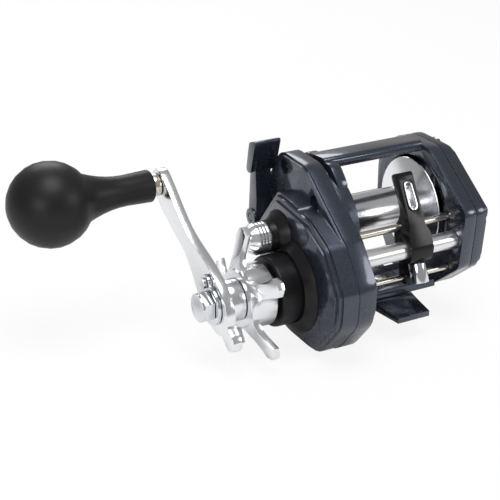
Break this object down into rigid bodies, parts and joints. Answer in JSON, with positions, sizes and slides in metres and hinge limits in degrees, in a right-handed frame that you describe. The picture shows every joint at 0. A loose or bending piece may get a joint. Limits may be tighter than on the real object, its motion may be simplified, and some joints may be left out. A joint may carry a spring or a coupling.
{
  "type": "trolling reel",
  "caption": "Left-hand trolling reel with a star drag, a level wind, a one-piece frame, a ball-knob crank and a clamp-down foot.",
  "frame": {"origin": "middle of the foot's seat, the flat face that lies on the rod, under the middle of the spool", "axes": "+X along the spool axis from the handle towards the palm cover, -Y the side the line leaves, +Z from the rod up through the spool"},
  "size_m": [0.1913, 0.1015, 0.0817],
  "materials": {
    "graphite": "glossy dark blue-grey paint with a fine metallic fleck",
    "silver": "polished",
    "chrome": "mirror plated",
    "black_plastic": "satin moulded",
    "rubber_grip": "soft matt",
    "brass": "machined",
    "carbon": "woven friction washer",
    "nickel": "nickel plated",
    "steel": "machined"
  },
  "bodies": {
    "frame": {"frame": "graphite", "reel_foot": "graphite", "foot_screw_1": "steel", "foot_screw_2": "steel", "handle_side_cover": "graphite", "cover_screw_1": "steel", "cover_screw_2": "steel", "cover_screw_3": "steel", "cover_screw_4": "steel", "trim_ring": "black_plastic", "clutch_housing": "black_plastic", "gear_plate": "steel", "idler_stud": "steel", "drive_shaft_bearing": "steel", "spool_bearing_handle_side": "steel", "one_way_bearing": "steel", "spool_cap_bearing": "steel", "palm_side_cover": "graphite", "palm_screw_1": "steel", "palm_screw_2": "steel", "palm_screw_3": "steel", "spool_bearing_palm_side": "steel", "anti_reverse_pawl": "steel", "guide_rod_upper": "nickel", "guide_rod_lower": "nickel", "worm_tube": "silver"},
    "crank": {"drive_shaft": "steel", "drive_gear": "brass", "drag_washer_inner": "carbon", "keyed_drag_plate": "steel", "drag_washer_outer": "carbon", "pressure_plate": "steel", "spring_washer": "steel", "anti_reverse_ratchet": "steel", "level_wind_drive_gear": "black_plastic", "arm_spacer": "silver", "crank_arm": "silver", "nut_retainer": "silver", "retainer_screw": "nickel", "handle_nut": "chrome", "knob_post": "nickel"},
    "grip": {"knob": "rubber_grip", "knob_bush": "brass"},
    "star": {"star_drag": "silver"},
    "spool": {"spool": "silver", "spool_shaft": "steel", "click_gear": "brass"},
    "pinion": {"pinion_gear": "brass"},
    "yoke": {"pinion_yoke": "black_plastic"},
    "worm": {"worm_shaft": "steel", "worm_gear": "black_plastic"},
    "idler": {"idler_gear": "black_plastic"},
    "lever": {"clutch_lever": "graphite"},
    "tension": {"tension_knob": "silver"},
    "line_guide": {"line_guide": "black_plastic", "guide_insert": "chrome", "guide_pawl": "steel", "pawl_cap": "chrome"},
    "click": {"click_button": "black_plastic"}
  },
  "joints": [
    {"name": "handle_turn", "type": "hinge", "parent": "frame", "child": "crank", "pos_m": [0, -0.012, 0.017], "axis": [1, 0, 0], "continuous": true},
    {"name": "knob_spin", "type": "hinge", "parent": "crank", "child": "grip", "pos_m": [0, 0.0352, 0.0537], "axis": [1, 0, 0], "continuous": true},
    {"name": "star_turn", "type": "hinge", "parent": "crank", "child": "star", "pos_m": [0, -0.012, 0.017], "axis": [1, 0, 0], "range_deg": [-180, 180]},
    {"name": "spool_spin", "type": "hinge", "parent": "frame", "child": "spool", "pos_m": [0, 0, 0.036], "axis": [1, 0, 0], "continuous": true},
    {"name": "pinion_slide", "type": "slide", "parent": "spool", "child": "pinion", "axis": [-1, 0, 0], "range_m": [0, 0.00165]},
    {"name": "yoke_slide", "type": "slide", "parent": "frame", "child": "yoke", "axis": [-1, 0, 0], "range_m": [0, 0.00165]},
    {"name": "worm_spin", "type": "hinge", "parent": "frame", "child": "worm", "pos_m": [0, -0.0305, 0.031], "axis": [1, 0, 0], "continuous": true},
    {"name": "idler_spin", "type": "hinge", "parent": "frame", "child": "idler", "pos_m": [0, -0.01791, 0.03144], "axis": [1, 0, 0], "continuous": true},
    {"name": "clutch_press", "type": "hinge", "parent": "frame", "child": "lever", "pos_m": [0, 0.026, 0.034], "axis": [-1, 0, 0], "range_deg": [0, 25]},
    {"name": "tension_turn", "type": "hinge", "parent": "frame", "child": "tension", "pos_m": [0, 0, 0.036], "axis": [1, 0, 0], "range_deg": [-180, 180]},
    {"name": "guide_slide", "type": "slide", "parent": "frame", "child": "line_guide", "axis": [1, 0, 0], "range_m": [-0.0175, 0.0135]},
    {"name": "click_slide", "type": "slide", "parent": "frame", "child": "click", "axis": [0, 0, -1], "range_m": [0, 0.004]}
  ],
  "couplings": [
    {"joint": "spool_spin", "follows": "handle_turn", "ratio": -6.3},
    {"joint": "worm_spin", "follows": "handle_turn", "ratio": 1.5},
    {"joint": "idler_spin", "follows": "handle_turn", "ratio": -1.3636},
    {"joint": "pinion_slide", "follows": "clutch_press", "m_per_rad": 0.0036669},
    {"joint": "yoke_slide", "follows": "clutch_press", "m_per_rad": 0.0036669}
  ]
}
